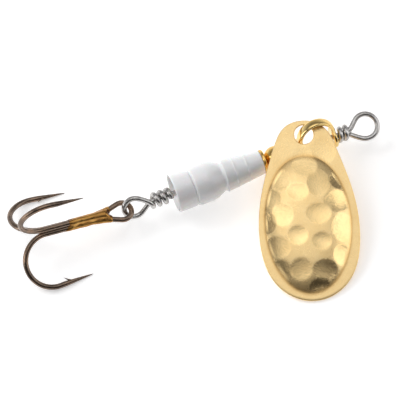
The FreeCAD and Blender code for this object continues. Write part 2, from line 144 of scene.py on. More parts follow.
def wireGrid(path, radii, sides, startCap, endCap, place):
    # P(s, a) = path(s) + radius(s) (cos a n + sin a b); a cap is a list of (distance outwards, share of radius)
    tangents, normals, binormals = carriedFrames(path)
    s = travel(path)
    for cap, at, way in ((startCap, 0, -1), (endCap, -1, 1)):
        out = np.array([step[0] for step in cap])[:, None]
        shares = np.array([step[1] for step in cap])
        rings = path[at] + way * out * tangents[at]
        extra = [rings, shares * radii[at], np.repeat(normals[at][None], len(cap), 0),
                 np.repeat(binormals[at][None], len(cap), 0), np.full(len(cap), s[at])]
        if way < 0:
            held = [np.concatenate([e[::-1], h]) for e, h in zip(extra, (path, radii, normals, binormals, s))]
        else:
            held = [np.concatenate([h, e]) for e, h in zip(extra, (path, radii, normals, binormals, s))]
        path, radii, normals, binormals, s = held
        tangents = np.concatenate([tangents[:1], tangents]) if way < 0 else tangents
    a = np.linspace(0, 2 * math.pi, sides, endpoint=False)
    ring = normals[:, None] * np.cos(a)[None, :, None] + binormals[:, None] * np.sin(a)[None, :, None]
    points = path[:, None] + ring * radii[:, None, None]
    marks = np.stack(np.broadcast_arrays(np.cos(a)[None], np.sin(a)[None], s[:, None]), -1)
    return {"points": place(points), "marks": marks}


def softOutline(corners, step, soft):
    # a closed outline walked at an even step, then averaged over a bell curve of width soft, so edges are round
    corners = np.array(corners + corners[:1], float)
    s = np.concatenate([[0], np.cumsum(np.linalg.norm(np.diff(corners, axis=0), axis=1))])
    count = int(s[-1] / step)
    walk = np.linspace(0, s[-1], count, endpoint=False)
    outline = np.stack([np.interp(walk, s, corners[:, k]) for k in (0, 1)], -1)
    reach = int(3 * soft / step) + 1
    offsets = np.arange(-reach, reach + 1)
    weights = np.exp(-0.5 * (offsets * step / soft) ** 2)
    weights /= weights.sum()
    return sum(w * np.roll(outline, k, axis=0) for k, w in zip(offsets, weights))


def latheGrid(outline, sides):
    # P(i, a) = (x_i, r_i cos a, r_i sin a) about the shaft
    a = np.linspace(0, 2 * math.pi, sides, endpoint=False)
    x, r = outline[:, 0][:, None], outline[:, 1][:, None]
    points = np.stack([x + 0 * a, r * np.cos(a), r * np.sin(a)], -1)
    marks = np.stack([np.cos(a) + 0 * x, np.sin(a) + 0 * x, x + 0 * a], -1)
    return {"points": fromMouth(points), "marks": marks, "wrapRows": True}


def newMaterial(name):
    material = bpy.data.materials.new(name)
    material.use_nodes = True
    tree = material.node_tree
    return material, tree, tree.nodes["Principled BSDF"]


def noiseOn(tree, source, scale, detail=3.0, rough=0.55, stretch=(1, 1, 1)):
    mapping = tree.nodes.new("ShaderNodeMapping")
    mapping.inputs["Scale"].default_value = stretch
    noise = tree.nodes.new("ShaderNodeTexNoise")
    noise.inputs["Scale"].default_value = scale
    noise.inputs["Detail"].default_value = detail
    noise.inputs["Roughness"].default_value = rough
    tree.links.new(source, mapping.inputs["Vector"])
    tree.links.new(mapping.outputs["Vector"], noise.inputs["Vector"])
    return noise.outputs["Fac"]


def ramp(tree, source, stops):
    made = tree.nodes.new("ShaderNodeValToRGB")
    band = made.color_ramp
    while len(band.elements) < len(stops):
        band.elements.new(0.5)
    for element, (place, colour) in zip(band.elements, stops):
        element.position = place
        element.color = (*colour, 1) if len(colour) == 3 else colour
    tree.links.new(source, made.inputs["Fac"])
    return made.outputs["Color"]


def ranged(tree, source, low, high, fromLow=0.0, fromHigh=1.0):
    made = tree.nodes.new("ShaderNodeMapRange")
    made.inputs["From Min"].default_value = fromLow
    made.inputs["From Max"].default_value = fromHigh
    made.inputs["To Min"].default_value = low
    made.inputs["To Max"].default_value = high
    tree.links.new(source, made.inputs["Value"])
    return made.outputs["Result"]


def mixed(tree, kind, a, b, factor=1.0):
    made = tree.nodes.new("ShaderNodeMix")
    made.data_type = "RGBA"
    made.blend_type = kind
    if isinstance(factor, float):
        made.inputs["Factor"].default_value = factor
    else:
        tree.links.new(factor, made.inputs["Factor"])
    tree.links.new(a, made.inputs["A"])
    tree.links.new(b, made.inputs["B"])
    return made.outputs["Result"]


def bumpFrom(tree, shader, heights):
    # heights: list of (output, strength, distance in metres), chained
    last = None
    for source, strength, distance in heights:
        bump = tree.nodes.new("ShaderNodeBump")
        bump.inputs["Strength"].default_value = strength
        bump.inputs["Distance"].default_value = distance
        tree.links.new(source, bump.inputs["Height"])
        if last is not None:
            tree.links.new(last, bump.inputs["Normal"])
        last = bump.outputs["Normal"]
    tree.links.new(last, shader.inputs["Normal"])


def objectPlace(tree):
    return tree.nodes.new("ShaderNodeTexCoord").outputs["Object"]


def marksOf(tree):
    made = tree.nodes.new("ShaderNodeAttribute")
    made.attribute_name = "marks"
    return made


def drawnSteel():
    material, tree, shader = newMaterial("drawnSteel")
    marks = marksOf(tree)
    streaks = noiseOn(tree, marks.outputs["Vector"], 5.0, 4.0, 0.6, (3.0, 3.0, 0.22))
    fine = noiseOn(tree, marks.outputs["Vector"], 9.0, 3.0, 0.6, (5.0, 5.0, 0.35))
    patches = noiseOn(tree, objectPlace(tree), 700.0, 3.0)
    base = ramp(tree, streaks, [(0.30, (0.36, 0.35, 0.34)), (0.50, (0.60, 0.59, 0.58)),
                                (0.72, (0.84, 0.83, 0.81))])
    tint = ramp(tree, patches, [(0.35, (0.80, 0.78, 0.76)), (0.65, (1.0, 1.0, 1.0))])
    tree.links.new(mixed(tree, "MULTIPLY", base, tint), shader.inputs["Base Color"])
    tree.links.new(ranged(tree, fine, 0.14, 0.34, 0.3, 0.7), shader.inputs["Roughness"])
    shader.inputs["Metallic"].default_value = 1.0
    bumpFrom(tree, shader, [(streaks, 0.35, 0.00004), (fine, 0.25, 0.00002)])
    return material


def whitePlastic():
    material, tree, shader = newMaterial("whitePlastic")
    place = objectPlace(tree)
    clouds = noiseOn(tree, place, 260.0, 3.0)
    skin = noiseOn(tree, place, 2600.0, 4.0)
    base = ramp(tree, clouds, [(0.3, (0.87, 0.875, 0.885)), (0.7, (0.93, 0.935, 0.94))])
    tree.links.new(base, shader.inputs["Base Color"])
    tree.links.new(ranged(tree, skin, 0.17, 0.30, 0.3, 0.7), shader.inputs["Roughness"])
    shader.inputs["Subsurface Weight"].default_value = 0.12
    shader.inputs["Subsurface Scale"].default_value = 0.0008
    shader.inputs["Coat Weight"].default_value = 0.35
    shader.inputs["Coat Roughness"].default_value = 0.12
    bumpFrom(tree, shader, [(clouds, 0.12, 0.00008), (skin, 0.10, 0.00001)])
    return material


def goldPlate(name, deep, pale, roughLow, roughHigh, scale):
    material, tree, shader = newMaterial(name)
    place = objectPlace(tree)
    wide = noiseOn(tree, place, scale, 3.0)
    grain = noiseOn(tree, place, 4200.0, 3.0, 0.6)
    tree.links.new(ramp(tree, wide, [(0.30, deep), (0.70, pale)]), shader.inputs["Base Color"])
    tree.links.new(ranged(tree, grain, roughLow, roughHigh, 0.35, 0.65), shader.inputs["Roughness"])
    shader.inputs["Metallic"].default_value = 1.0
    bumpFrom(tree, shader, [(grain, 0.16, 0.00002), (wide, 0.10, 0.00008)])
    return material


def hammeredGold():
    # marks: x = 1 inside a dent, y = 1 on the crease round a dent or the bowl, where the colour is darkened as
    # painted shade, z = 1 on the flat rim
    material, tree, shader = newMaterial("hammeredGold")
    place = objectPlace(tree)
    parts = tree.nodes.new("ShaderNodeSeparateXYZ")
    tree.links.new(marksOf(tree).outputs["Vector"], parts.inputs["Vector"])
    clouds = noiseOn(tree, place, 320.0, 4.0)
    peel = noiseOn(tree, place, 2600.0, 4.0, 0.62)
    grain = noiseOn(tree, place, 6400.0, 3.0, 0.6)
    base = ramp(tree, clouds, [(0.30, (0.86, 0.612, 0.280)), (0.70, (0.93, 0.692, 0.342))])
    # painted shade: the gold is darkened along the bowl's crease and on steep slopes
    paintedCreaseShade = ramp(tree, parts.outputs["Y"], [(0.0, (1.0, 1.0, 1.0)), (1.0, (0.72, 0.60, 0.44))])
    tree.links.new(mixed(tree, "MULTIPLY", base, paintedCreaseShade), shader.inputs["Base Color"])
    dentRough = ranged(tree, peel, 0.13, 0.27, 0.35, 0.68)
    rimRough = ranged(tree, grain, 0.26, 0.38, 0.35, 0.65)
    blend = tree.nodes.new("ShaderNodeMix")
    tree.links.new(parts.outputs["X"], blend.inputs["Factor"])
    tree.links.new(rimRough, blend.inputs["A"])
    tree.links.new(dentRough, blend.inputs["B"])
    tree.links.new(blend.outputs["Result"], shader.inputs["Roughness"])
    shader.inputs["Metallic"].default_value = 1.0
    bumpFrom(tree, shader, [(peel, 0.45, 0.00004), (grain, 0.20, 0.00002), (clouds, 0.10, 0.00008)])
    return material


def bronzedSteel():
    material, tree, shader = newMaterial("bronzedSteel")
    place = objectPlace(tree)
    marks = marksOf(tree)
    patches = noiseOn(tree, place, 420.0, 4.0, 0.6)
    streaks = noiseOn(tree, marks.outputs["Vector"], 4.0, 4.0, 0.6, (3.0, 3.0, 0.3))
    pits = noiseOn(tree, place, 5200.0, 3.0, 0.6)
    base = ramp(tree, patches, [(0.28, (0.120, 0.090, 0.072)), (0.52, (0.250, 0.185, 0.140)),
                                (0.74, (0.420, 0.270, 0.180))])
    tone = ramp(tree, streaks, [(0.30, (0.76, 0.74, 0.72)), (0.66, (1.0, 1.0, 1.0))])
    tree.links.new(mixed(tree, "MULTIPLY", base, tone), shader.inputs["Base Color"])
    tree.links.new(ranged(tree, streaks, 0.15, 0.30, 0.3, 0.7), shader.inputs["Roughness"])
    shader.inputs["Metallic"].default_value = 0.94
    bumpFrom(tree, shader, [(streaks, 0.16, 0.00003), (pits, 0.15, 0.00001)])
    return material


def brazeMetal():
    # marks: x = 1 in the seams between the shanks, where the colour is darkened as painted shade, y = 1 at the
    # worn ends
    material, tree, shader = newMaterial("brazeMetal")
    place = objectPlace(tree)
    parts = tree.nodes.new("ShaderNodeSeparateXYZ")
    tree.links.new(marksOf(tree).outputs["Vector"], parts.inputs["Vector"])
    clouds = noiseOn(tree, place, 620.0, 4.0, 0.6)
    flow = noiseOn(tree, place, 1100.0, 3.0, 0.55)
    base = ramp(tree, clouds, [(0.28, (0.30, 0.140, 0.040)), (0.50, (0.50, 0.255, 0.065)),
                               (0.75, (0.72, 0.430, 0.130))])
    # painted shade: the seams between the shanks are darkened
    paintedSeamShade = ramp(tree, parts.outputs["X"], [(0.0, (1.0, 1.0, 1.0)), (1.0, (0.52, 0.42, 0.32))])
    worn = ramp(tree, parts.outputs["Y"], [(0.0, (1.0, 1.0, 1.0)), (1.0, (0.34, 0.27, 0.22))])
    seamShaded = mixed(tree, "MULTIPLY", base, paintedSeamShade)
    tree.links.new(mixed(tree, "MULTIPLY", seamShaded, worn), shader.inputs["Base Color"])
    tree.links.new(ranged(tree, flow, 0.24, 0.48, 0.3, 0.7), shader.inputs["Roughness"])
    shader.inputs["Metallic"].default_value = 0.95
    bumpFrom(tree, shader, [(flow, 0.30, 0.00006), (clouds, 0.20, 0.00012)])
    return material


steelFinish = drawnSteel()
plasticFinish = whitePlastic()
brassFinish = goldPlate("goldBrass", (0.80, 0.53, 0.175), (0.95, 0.71, 0.31), 0.12, 0.24, 480.0)
amberFinish = goldPlate("amberBrass", (0.74, 0.43, 0.11), (0.90, 0.60, 0.20), 0.16, 0.30, 480.0)
bladeFinish = hammeredGold()
hookFinish = bronzedSteel()
brazeFinish = brazeMetal()
print("materials made")

shaftSettings = dict(radius=0.475, sides=26, perSpan=5, wrapRadius=1.0, wrapCorners=16,
                     tailTurns=3.0, tailPitch=1.20, noseTurns=1.75, nosePitch=1.05,
                     hookLoopWidth=4.80, hookLoopReach=4.85, hookLoopRoll=60.0, hookLoopSwell=1.03,
                     lineLoopWidth=5.30, lineLoopReach=5.45, lineLoopRoll=22.0, lineLoopSwell=1.01,
                     lineLoopSag=0.10)


def wrapPoints(startX, pitch, turns, startAngle, roll, settings):
    # a helix round the shaft: x = start + pitch n, angle = start + 360 n
    n = np.arange(round(turns * settings["wrapCorners"]) + 1) / settings["wrapCorners"]
    angle = np.radians(startAngle + 360 * n)
    swell = 1 + (2 * math.pi / settings["wrapCorners"]) ** 2 / 6   # the spline runs that much inside its points
    radius = settings["wrapRadius"] * swell
    return aroundShaft(startX + pitch * n, radius * np.cos(angle), radius * np.sin(angle), roll)


def loopPoints(centreX, centreAcross, radius, start, end, count, lifts, roll):
    # a ring in the rolled plane, its first or last points lifted clear of the wrap
    angle = np.radians(np.linspace(start, end, count))
    return aroundShaft(centreX + radius * np.cos(angle), centreAcross + radius * np.sin(angle), lifts, roll)


def shaftPath(settings):
    low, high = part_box("shaft_wire")
    radius = settings["radius"]
    hookEnd = (low.x - mouth[0]) / mm + radius
    lineEnd = (high.x - mouth[0]) / mm - radius
    tailNeck = hookEnd + settings["hookLoopReach"]
    noseNeck = lineEnd - settings["lineLoopReach"]
    roll = settings["hookLoopRoll"]
    ring = settings["hookLoopWidth"] / 2 - radius       # swelled, as the spline runs inside its points
    lifts = np.concatenate([[0.46, 0.26, 0.10], np.zeros(12)])
    tail = [
        wrapPoints(tailNeck, settings["tailPitch"], settings["tailTurns"], 90, roll, settings)[::-1],
        aroundShaft(tailNeck + np.array([-0.28, -0.66]), np.array([0.42, 0.82]), np.array([0.96, 0.72]), roll),
        loopPoints(hookEnd + ring, 0, ring * settings["hookLoopSwell"], 62, 300, 15, lifts, roll),
        aroundShaft(tailNeck + np.array([-0.80, -0.25]), np.array([-0.62, -0.10]), 0.0, roll),
    ]
    straight = [aroundShaft(np.linspace(tailNeck + 0.60, noseNeck - 0.60, 40), 0.0, 0.0, 0)]
    roll = settings["lineLoopRoll"]
    ring = settings["lineLoopWidth"] / 2 - radius
    nose = [
        aroundShaft(noseNeck + np.array([0.20, 0.85]), np.array([0.08, 0.50]), 0.0, roll),
        loopPoints(lineEnd - ring, -settings["lineLoopSag"], ring * settings["lineLoopSwell"], 126, -118, 15,
                   -lifts[::-1], roll),
        aroundShaft(noseNeck + np.array([0.74, 0.30]), np.array([-0.92, -0.46]), np.array([-0.72, -0.96]),
                    roll),
        wrapPoints(noseNeck, -settings["nosePitch"], settings["noseTurns"], -90, roll, settings),
    ]
    return smoothLine(np.concatenate(tail + straight + nose), settings["perSpan"])


shaftLine = shaftPath(shaftSettings)
cutEnd = [(0.0, 1.0), (0.05, 0.90), (0.06, 0.55), (-0.16, 0.46), (-0.20, 0.0)]      # with a small hollow
shaftGrid = wireGrid(shaftLine, np.full(len(shaftLine), shaftSettings["radius"]), shaftSettings["sides"],
                     cutEnd, cutEnd, fromMouth)
buildPiece("wireShaft", [shaftGrid], "shaft", ["shaft_wire"], steelFinish)
print("shaft wire made")

bodySettings = dict(bellRadius=3.52, bellLength=3.05, bellWall=0.34, bellDepth=2.30, grooveDepth=0.36,
                    grooveWidth=0.50, bulgeRadius=3.60, bulgeLength=5.10, waistRadius=2.62, collarRadius=3.00,
                    collarStep=0.55, coneLength=7.10, frontRadius=2.12, ringHeight=0.08, ringWidth=0.50,
                    rings=(0.24, 0.56), coreRadius=1.05, flangeRadius=2.18, flangeThickness=0.60,
                    step=0.078, soft=0.055, coreStep=0.04, coreSides=96, sides=132)


def bodyOutline(s):
    bulgeStart = s["bellLength"] + s["grooveWidth"]
    waist = bulgeStart + s["bulgeLength"]
    collar = waist + s["collarStep"]
    front = collar + s["coneLength"]
    inside = s["bellRadius"] - s["bellWall"]
    corners = [(s["bellDepth"], s["coreRadius"]), (s["bellDepth"] - 0.10, s["coreRadius"] + 0.55),
               (s["bellDepth"] - 0.45, inside - 0.45), (0.05, inside), (-0.14, inside + 0.09),
               (-0.17, inside + s["bellWall"] / 2), (-0.14, s["bellRadius"] - 0.09), (0.05, s["bellRadius"]),
               (s["bellLength"], s["bellRadius"] - 0.06),
               (s["bellLength"] + 0.5 * s["grooveWidth"], s["bellRadius"] - s["grooveDepth"]),
               (bulgeStart, s["bulgeRadius"] - 0.05)]
    t = np.linspace(0, 1, 24)
    shoulder = bulgeStart + s["bulgeLength"] * 0.45
    fall = s["bulgeRadius"] - s["waistRadius"]
    bulgeX = shoulder + (waist - shoulder) * t
    bulgeR = s["bulgeRadius"] - fall * t ** 1.7              # the shoulder falls as the 1.7th power
    corners += list(zip([bulgeStart + 0.35] + bulgeX.tolist(), [s["bulgeRadius"]] + bulgeR.tolist()))
    corners += [(collar - 0.20, s["waistRadius"] + 0.08), (collar, s["collarRadius"])]
    slope = (s["frontRadius"] - s["collarRadius"]) / s["coneLength"]
    for share in s["rings"]:
        x = collar + s["coneLength"] * share
        r = s["collarRadius"] + slope * s["coneLength"] * share
        corners += [(x, r), (x + 0.12, r + s["ringHeight"]), (x + s["ringWidth"], r + slope * s["ringWidth"])]
    corners += [(front - 0.10, s["frontRadius"] + 0.02), (front, s["frontRadius"] - 0.08),
                (front, s["coreRadius"])]
    return corners, front


shellCorners, bodyFront = bodyOutline(bodySettings)
shellLine = softOutline(shellCorners, bodySettings["step"], bodySettings["soft"])
buildPiece("whiteBody", [latheGrid(shellLine, bodySettings["sides"])], "body", ["body_shell"],
           plasticFinish)


def coreOutline(s, front, bore):
    flangeFront = front + s["flangeThickness"]
    return [(s["bellDepth"] - 0.19, bore), (s["bellDepth"] - 0.19, s["coreRadius"] - 0.10),
            (s["bellDepth"] - 0.02, s["coreRadius"] - 0.01), (front + 0.01, s["coreRadius"] - 0.01),
            (front + 0.01, s["flangeRadius"] - 0.12), (front + 0.14, s["flangeRadius"]),
            (flangeFront - 0.14, s["flangeRadius"]), (flangeFront, s["flangeRadius"] - 0.16),
            (flangeFront, bore)]


boreRadius = 0.535
coreLine = softOutline(coreOutline(bodySettings, bodyFront, boreRadius), bodySettings["coreStep"], 0.035)
buildPiece("brassCore", [latheGrid(coreLine, bodySettings["coreSides"])], "body", ["body_core"],
           amberFinish)
print("body made")

beadSettings = dict(land=0.30, step=0.03, soft=0.03, sides=120)


def beadOutline(nodeName, settings):
    # the arc r^2 + x^2 = R^2 between two flats, and the bore through it
    low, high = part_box(nodeName)
    radius = (high.z - low.z) / 2 / mm
    middle = ((low.x + high.x) / 2 - mouth[0]) / mm
    edge = math.asin(min(0.999, (boreRadius + settings["land"]) / radius))
    t = np.linspace(edge, math.pi - edge, 60)
    x, r = middle - radius * np.cos(t), radius * np.sin(t)
    return list(zip(x.tolist(), r.tolist())) + [(x[-1], boreRadius), (x[0], boreRadius)]


for pieceName, nodeName, bodyName in (("bearingBead", "bearing_bead", "bearing"),
                                      ("spacerBead", "spacer_bead", "spacer")):
    line = softOutline(beadOutline(nodeName, beadSettings), beadSettings["step"], beadSettings["soft"])
    buildPiece(pieceName, [latheGrid(line, beadSettings["sides"])], bodyName, [nodeName],
               amberFinish)
print("beads made")

clevisSettings = dict(thickness=0.78, width=1.70, footRadius=1.93, height=5.20, lean=70.0,
                      roundness=2.7, sides=44, steps=150)


def clevisGrids(s):
    # the strip's section is |a/w|^n + |b/t|^n = 1, carried up a leg, round the half circle and down again
    low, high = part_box("clevis")
    left, right = (low.x - mouth[0]) / mm, (high.x - mouth[0]) / mm
    middle, outer = (left + right) / 2, (right - left) / 2
    radius = outer - s["thickness"] / 2
    top = s["height"] - outer
    t = np.linspace(0, 1, s["steps"])
    legShare = top / (2 * top + math.pi * radius)
    turn = np.clip((t - legShare) / (1 - 2 * legShare), 0, 1) * math.pi
    rise = np.where(t < legShare, top * t / legShare, np.where(t > 1 - legShare, top * (1 - t) / legShare, top))
    path = aroundShaft(middle - radius * np.cos(turn), rise + radius * np.sin(turn), 0.0, s["lean"])
    outwards = aroundShaft(-np.cos(turn), np.sin(turn), 0.0, s["lean"])
    sideways = aroundShaft(0.0, 0.0, 1.0, s["lean"])
    height = rise + radius * np.sin(turn)
    flare = 1 + 0.35 * np.clip(1 - (height - 0.8) / 1.6, 0, 1) ** 2          # the strip widens into its feet
    a = np.linspace(0, 2 * math.pi, s["sides"], endpoint=False)
    power = 2 / s["roundness"]
    across = np.sign(np.cos(a)) * np.abs(np.cos(a)) ** power * s["width"] / 2
    through = np.sign(np.sin(a)) * np.abs(np.sin(a)) ** power * s["thickness"] / 2
    points = path[:, None] + sideways * (across[None, :, None] * flare[:, None, None]) \
        + outwards[:, None] * through[None, :, None]
    middles = points.mean(1, keepdims=True)
    closed = np.concatenate([middles[:1] + 0 * points[:1], points, middles[-1:] + 0 * points[-1:]])
    grids = [{"points": fromMouth(closed)}]
    for footX in (left, right - s["thickness"]):
        edge = 0.20
        corners = [(footX, boreRadius), (footX, s["footRadius"] - edge), (footX + edge, s["footRadius"]),
                   (footX + s["thickness"] - edge, s["footRadius"]),
                   (footX + s["thickness"], s["footRadius"] - edge), (footX + s["thickness"], boreRadius)]
        grids.append(latheGrid(softOutline(corners, 0.03, 0.06), 90))
    return grids


buildPiece("clevisArch", clevisGrids(clevisSettings), "clevis", ["clevis"], brassFinish)
print("clevis made")

bladeSettings = dict(
    length=31.9, width=17.55, sheet=0.48, holeRadius=1.68, holeInset=2.55,
    turn=-18.2, pitch=12.5, roll=3.0, across=0.50, down=0.05,
    outline=[(0.02, 0.307), (0.05, 0.43), (0.12, 0.59), (0.25, 0.744), (0.45, 0.95), (0.65, 0.994),
             (0.78, 0.935), (0.91, 0.69), (0.975, 0.386)],      # share of the length, share of the half width
    bowlAcross=-0.22, bowlInset=18.45, bowlHalfLength=12.15, bowlHalfWidth=7.52, bowlHeight=1.18,
    bowlPower=3.9, bowlSoft=0.03,
    dentRadius=1.98, dentDepth=0.145, dentSoft=0.008,
    dents=[(-4.7, -8.0), (-0.3, -5.6), (-1.8, -10.2), (1.9, -8.9), (5.4, -8.2), (4.9, -12.2), (-6.4, -11.3),
           (-4.6, -14.2), (1.6, -14.2), (-2.2, -17.9), (5.6, -16.8), (1.9, -19.1), (-5.9, -20.0), (-7.4, -15.6),
           (-1.9, -23.9), (2.2, -24.2), (5.4, -21.6), (-5.4, -24.4), (1.2, -27.2)],
    faintDents=[(3.4, -3.0), (-0.4, -3.9)],
    aroundSteps=440, acrossSteps=92, edgeSteps=6)


def bladeRim(s, count):
    # y = inset - L (1 - cos p) / 2 and x = W/2 sin p g(cos p), with g a smooth curve through the shares
    shares = np.array(s["outline"])
    c = 1 - 2 * shares[:, 0]
    g = np.polyfit(c, shares[:, 1] / np.sqrt(1 - c ** 2), 5)
    p = np.linspace(0, 2 * math.pi, 4000)
    x = s["width"] / 2 * np.sin(p) * np.polyval(g, np.cos(p))
    y = s["holeInset"] - s["length"] * (1 - np.cos(p)) / 2
    walk = np.concatenate([[0], np.cumsum(np.hypot(np.diff(x), np.diff(y)))])
    even = np.linspace(0, walk[-1], count, endpoint=False)
    return np.stack([np.interp(even, walk, x), np.interp(even, walk, y)], -1)


def bladeHeight(x, y, s):
    # bowl: H (1 - q^p) with q the share of the way out to the oval, softened where it meets the rim
    q = np.hypot((x - s["bowlAcross"]) / s["bowlHalfWidth"],
                 (y - s["holeInset"] + s["bowlInset"]) / s["bowlHalfLength"])
    raw = s["bowlHeight"] * (1 - q ** s["bowlPower"])
    dome = 0.5 * (raw + np.sqrt(raw ** 2 + s["bowlSoft"] ** 2))
    # each dent sinks the sheet to the paraboloid floor + depth (d^2/R^2 - 1), the lower of the two, softened
    height = dome
    inside = np.zeros_like(x)
    edge = np.clip((1.0 - q) / 0.09, 0, 1)
    onBowl = edge * edge * (3 - 2 * edge)
    for number, (dentX, dentY) in enumerate(s["dents"] + s["faintDents"]):
        strength = 1.0 if number < len(s["dents"]) else 0.35
        wander = 0.14 * math.sin(2.7 * number) + 1.0                       # no two blows are quite alike
        slant = math.cos(1.9 * number)
        dx, dy = x - dentX, y - dentY
        d = np.hypot(dx * (1 + 0.10 * slant), dy * (1 - 0.10 * slant)) / (s["dentRadius"] * wander)
        drop = s["dentDepth"] * strength * (d ** 2 - 1)
        sink = 0.5 * (drop - np.sqrt(drop ** 2 + s["dentSoft"] ** 2))
        held = onBowl if number < len(s["dents"]) else 1 - onBowl      # a blow on the bowl stops at its edge
        height = height + sink * np.exp(-np.clip(d - 1, 0, None) * 30) * held
        inside = np.maximum(inside, np.clip((1.06 - d) / 0.12, 0, 1) * strength * held)
    return height, q, inside


def bladeGrid(s):
    # P(u, t) runs from the hole's edge H(u) to the rim O(u) on one face, round the rim and back on the other
    rim = bladeRim(s, s["aroundSteps"])
    hole = rim / np.linalg.norm(rim, axis=1, keepdims=True) * s["holeRadius"]
    t = np.linspace(0, 1, s["acrossSteps"])
    t = t + 0.12 * np.sin(2 * math.pi * t) / (2 * math.pi)
    flat = hole[:, None] + (rim - hole)[:, None] * t[None, :, None]
    small = 1e-3
    height, q, inside = bladeHeight(flat[..., 0], flat[..., 1], s)
    slopeX = (bladeHeight(flat[..., 0] + small, flat[..., 1], s)[0] - height) / small
    slopeY = (bladeHeight(flat[..., 0], flat[..., 1] + small, s)[0] - height) / small
    normal = np.stack([-slopeX, -slopeY, np.ones_like(height)], -1)
    normal /= np.linalg.norm(normal, axis=-1, keepdims=True)
    middle = np.concatenate([flat, height[..., None]], -1)
    half = s["sheet"] / 2
    outwards = np.concatenate([(rim - hole) / np.linalg.norm(rim - hole, axis=1, keepdims=True),
                               np.zeros((len(rim), 1))], -1)
    a = np.linspace(0, math.pi, s["edgeSteps"] + 2)[1:-1]
    rimTurn = middle[:, -1:] + half * (np.cos(a)[None, :, None] * normal[:, -1:]
                                       + 0.6 * np.sin(a)[None, :, None] * outwards[:, None])
    holeTurn = middle[:, :1] + half * (-np.cos(a)[None, :, None] * normal[:, :1]
                                       - 0.6 * np.sin(a)[None, :, None] * outwards[:, None])
    inset = 0.6 * half * outwards
    shrink = (t[None, :, None] * 2 - 1) * inset[:, None]
    rimTurn = rimTurn - inset[:, None]
    holeTurn = holeTurn + inset[:, None]
    middle = middle - shrink
    points = np.concatenate([middle + half * normal, rimTurn, (middle - half * normal)[:, ::-1], holeTurn], 1)
    bend = np.abs(slopeX) + np.abs(slopeY)
    # painted shade mask: high on the bowl's crease and where the sheet slopes steeply
    paintedCreaseShade = np.exp(-((q - 1.0) / 0.035) ** 2) * 0.8
    marks = np.stack([inside, np.clip(paintedCreaseShade + np.clip(bend - 0.75, 0, 1) * 0.3, 0, 1), (q > 1) * 1.0], -1)
    edge = np.zeros((len(rim), s["edgeSteps"], 3))
    marks = np.concatenate([marks, edge, marks[:, ::-1], edge], 1)
    return points, marks


def bladePlace(points, s):
    turned = turning("Z", s["turn"]) @ turning("X", s["pitch"]) @ turning("Y", s["roll"])
    hung = points + np.array([s["across"], -s["down"], 0])
    return np.array(joints["blade_swing"]["pos_m"]) + (hung @ turned.T) * mm


bladePoints, bladeMarks = bladeGrid(bladeSettings)
blade = buildPiece("hammeredBlade", [{"points": bladePlace(bladePoints, bladeSettings), "marks": bladeMarks,
                                      "wrapRows": True}], "blade", ["blade"], bladeFinish)
print("blade made", len(blade.data.polygons) * 2, "triangles")

hookSettings = dict(wire=0.95, length=21.2, eyeWidth=4.20, eyeTaper=3.60, bendRadius=4.65, lean=5.0,
                    spear=6.0, taper=5.0, tip=0.03, barbRoot=0.90, barbLength=1.0, barbRise=0.66,
                    shankSpace=0.02, droop=30.0, turn=2.4, rise=6.22, linkGap=0.28, sides=26, perSpan=4)
hookRadius = hookSettings["wire"] / 2
shankRadius = (hookSettings["wire"] + hookSettings["shankSpace"]) / math.sqrt(3)
eyeRadius = (hookSettings["eyeWidth"] - hookSettings["wire"]) / 2
eyeDrop = shankRadius * math.sin(math.radians(hookSettings["droop"]))
shankSide = shankRadius * math.cos(math.radians(hookSettings["droop"]))
bendX = -hookSettings["length"] + hookSettings["wire"] + hookSettings["bendRadius"]
shankStart = -eyeRadius - hookSettings["eyeTaper"]


def inArm(x, radius, roll):
    # (x, r) in the plane of one arm
    x, radius = np.broadcast_arrays(x, radius)
    c, s = math.cos(math.radians(roll)), math.sin(math.radians(roll))
    return np.stack([x, radius * c, radius * s], -1).astype(float)


def hookPlace(points):
    link = shaftSettings["radius"] + hookRadius + hookSettings["linkGap"]
    turned = turning("Z", -hookSettings["turn"]) @ turning("Y", hookSettings["rise"])
    return np.array(joints["hook_swing"]["pos_m"]) + ((points + np.array([link, 0, eyeDrop])) @ turned.T) * mm


def spearPlace(distance, lift, s):
    # along the spear from the bend's end, and up towards the shank
    lean = math.radians(s["lean"])
    x = bendX + s["bendRadius"] * math.sin(lean) + distance * math.cos(lean) - lift * math.sin(lean)
    r = shankRadius + s["bendRadius"] * (1 + math.cos(lean)) - distance * math.sin(lean) - lift * math.cos(lean)
    return x, r


def armPoints(roll, endX, s):
    # the spear from its tip, the bend as an arc in the arm's plane, then the straight shank
    spear = inArm(*spearPlace(np.linspace(s["spear"], 0.4, 14), 0.0, s), roll)
    angle = np.radians(np.linspace(90 - s["lean"], 266, 30))
    radius = s["bendRadius"] * 1.003        # the spline runs that much inside its points
    bend = inArm(bendX + radius * np.cos(angle), shankRadius + s["bendRadius"] + radius * np.sin(angle), roll)
    shank = inArm(np.linspace(bendX + 0.25, endX, 20), shankRadius, roll)
    return np.concatenate([spear, bend, shank])


def eyeLead(side):
    # from the shank, by a straight tangent run, to where the eye's ring starts
    apart = np.array([shankStart + eyeRadius, shankSide])
    touch = math.atan2(apart[1], apart[0]) - math.acos(eyeRadius / np.linalg.norm(apart))
    ringStart = np.array([-eyeRadius + eyeRadius * math.cos(touch), eyeRadius * math.sin(touch)])
    corner = np.array([shankStart, shankSide])
    run = corner + (ringStart - corner) * np.linspace(0.16, 0.92, 7)[:, None]
    return np.stack([run[:, 0], run[:, 1] * side, np.full(len(run), -eyeDrop)], -1), math.degrees(touch)


def taperedRadii(path, s, bothEnds):
    # radius = tip + (R - tip) (d / taper)^0.8 near a point, and R elsewhere
    d = travel(path)
    fromTip = np.minimum(d, d[-1] - d) if bothEnds else d
    share = np.clip(fromTip / s["taper"], 0, 1) ** 0.8
    return s["tip"] + (hookRadius - s["tip"]) * share


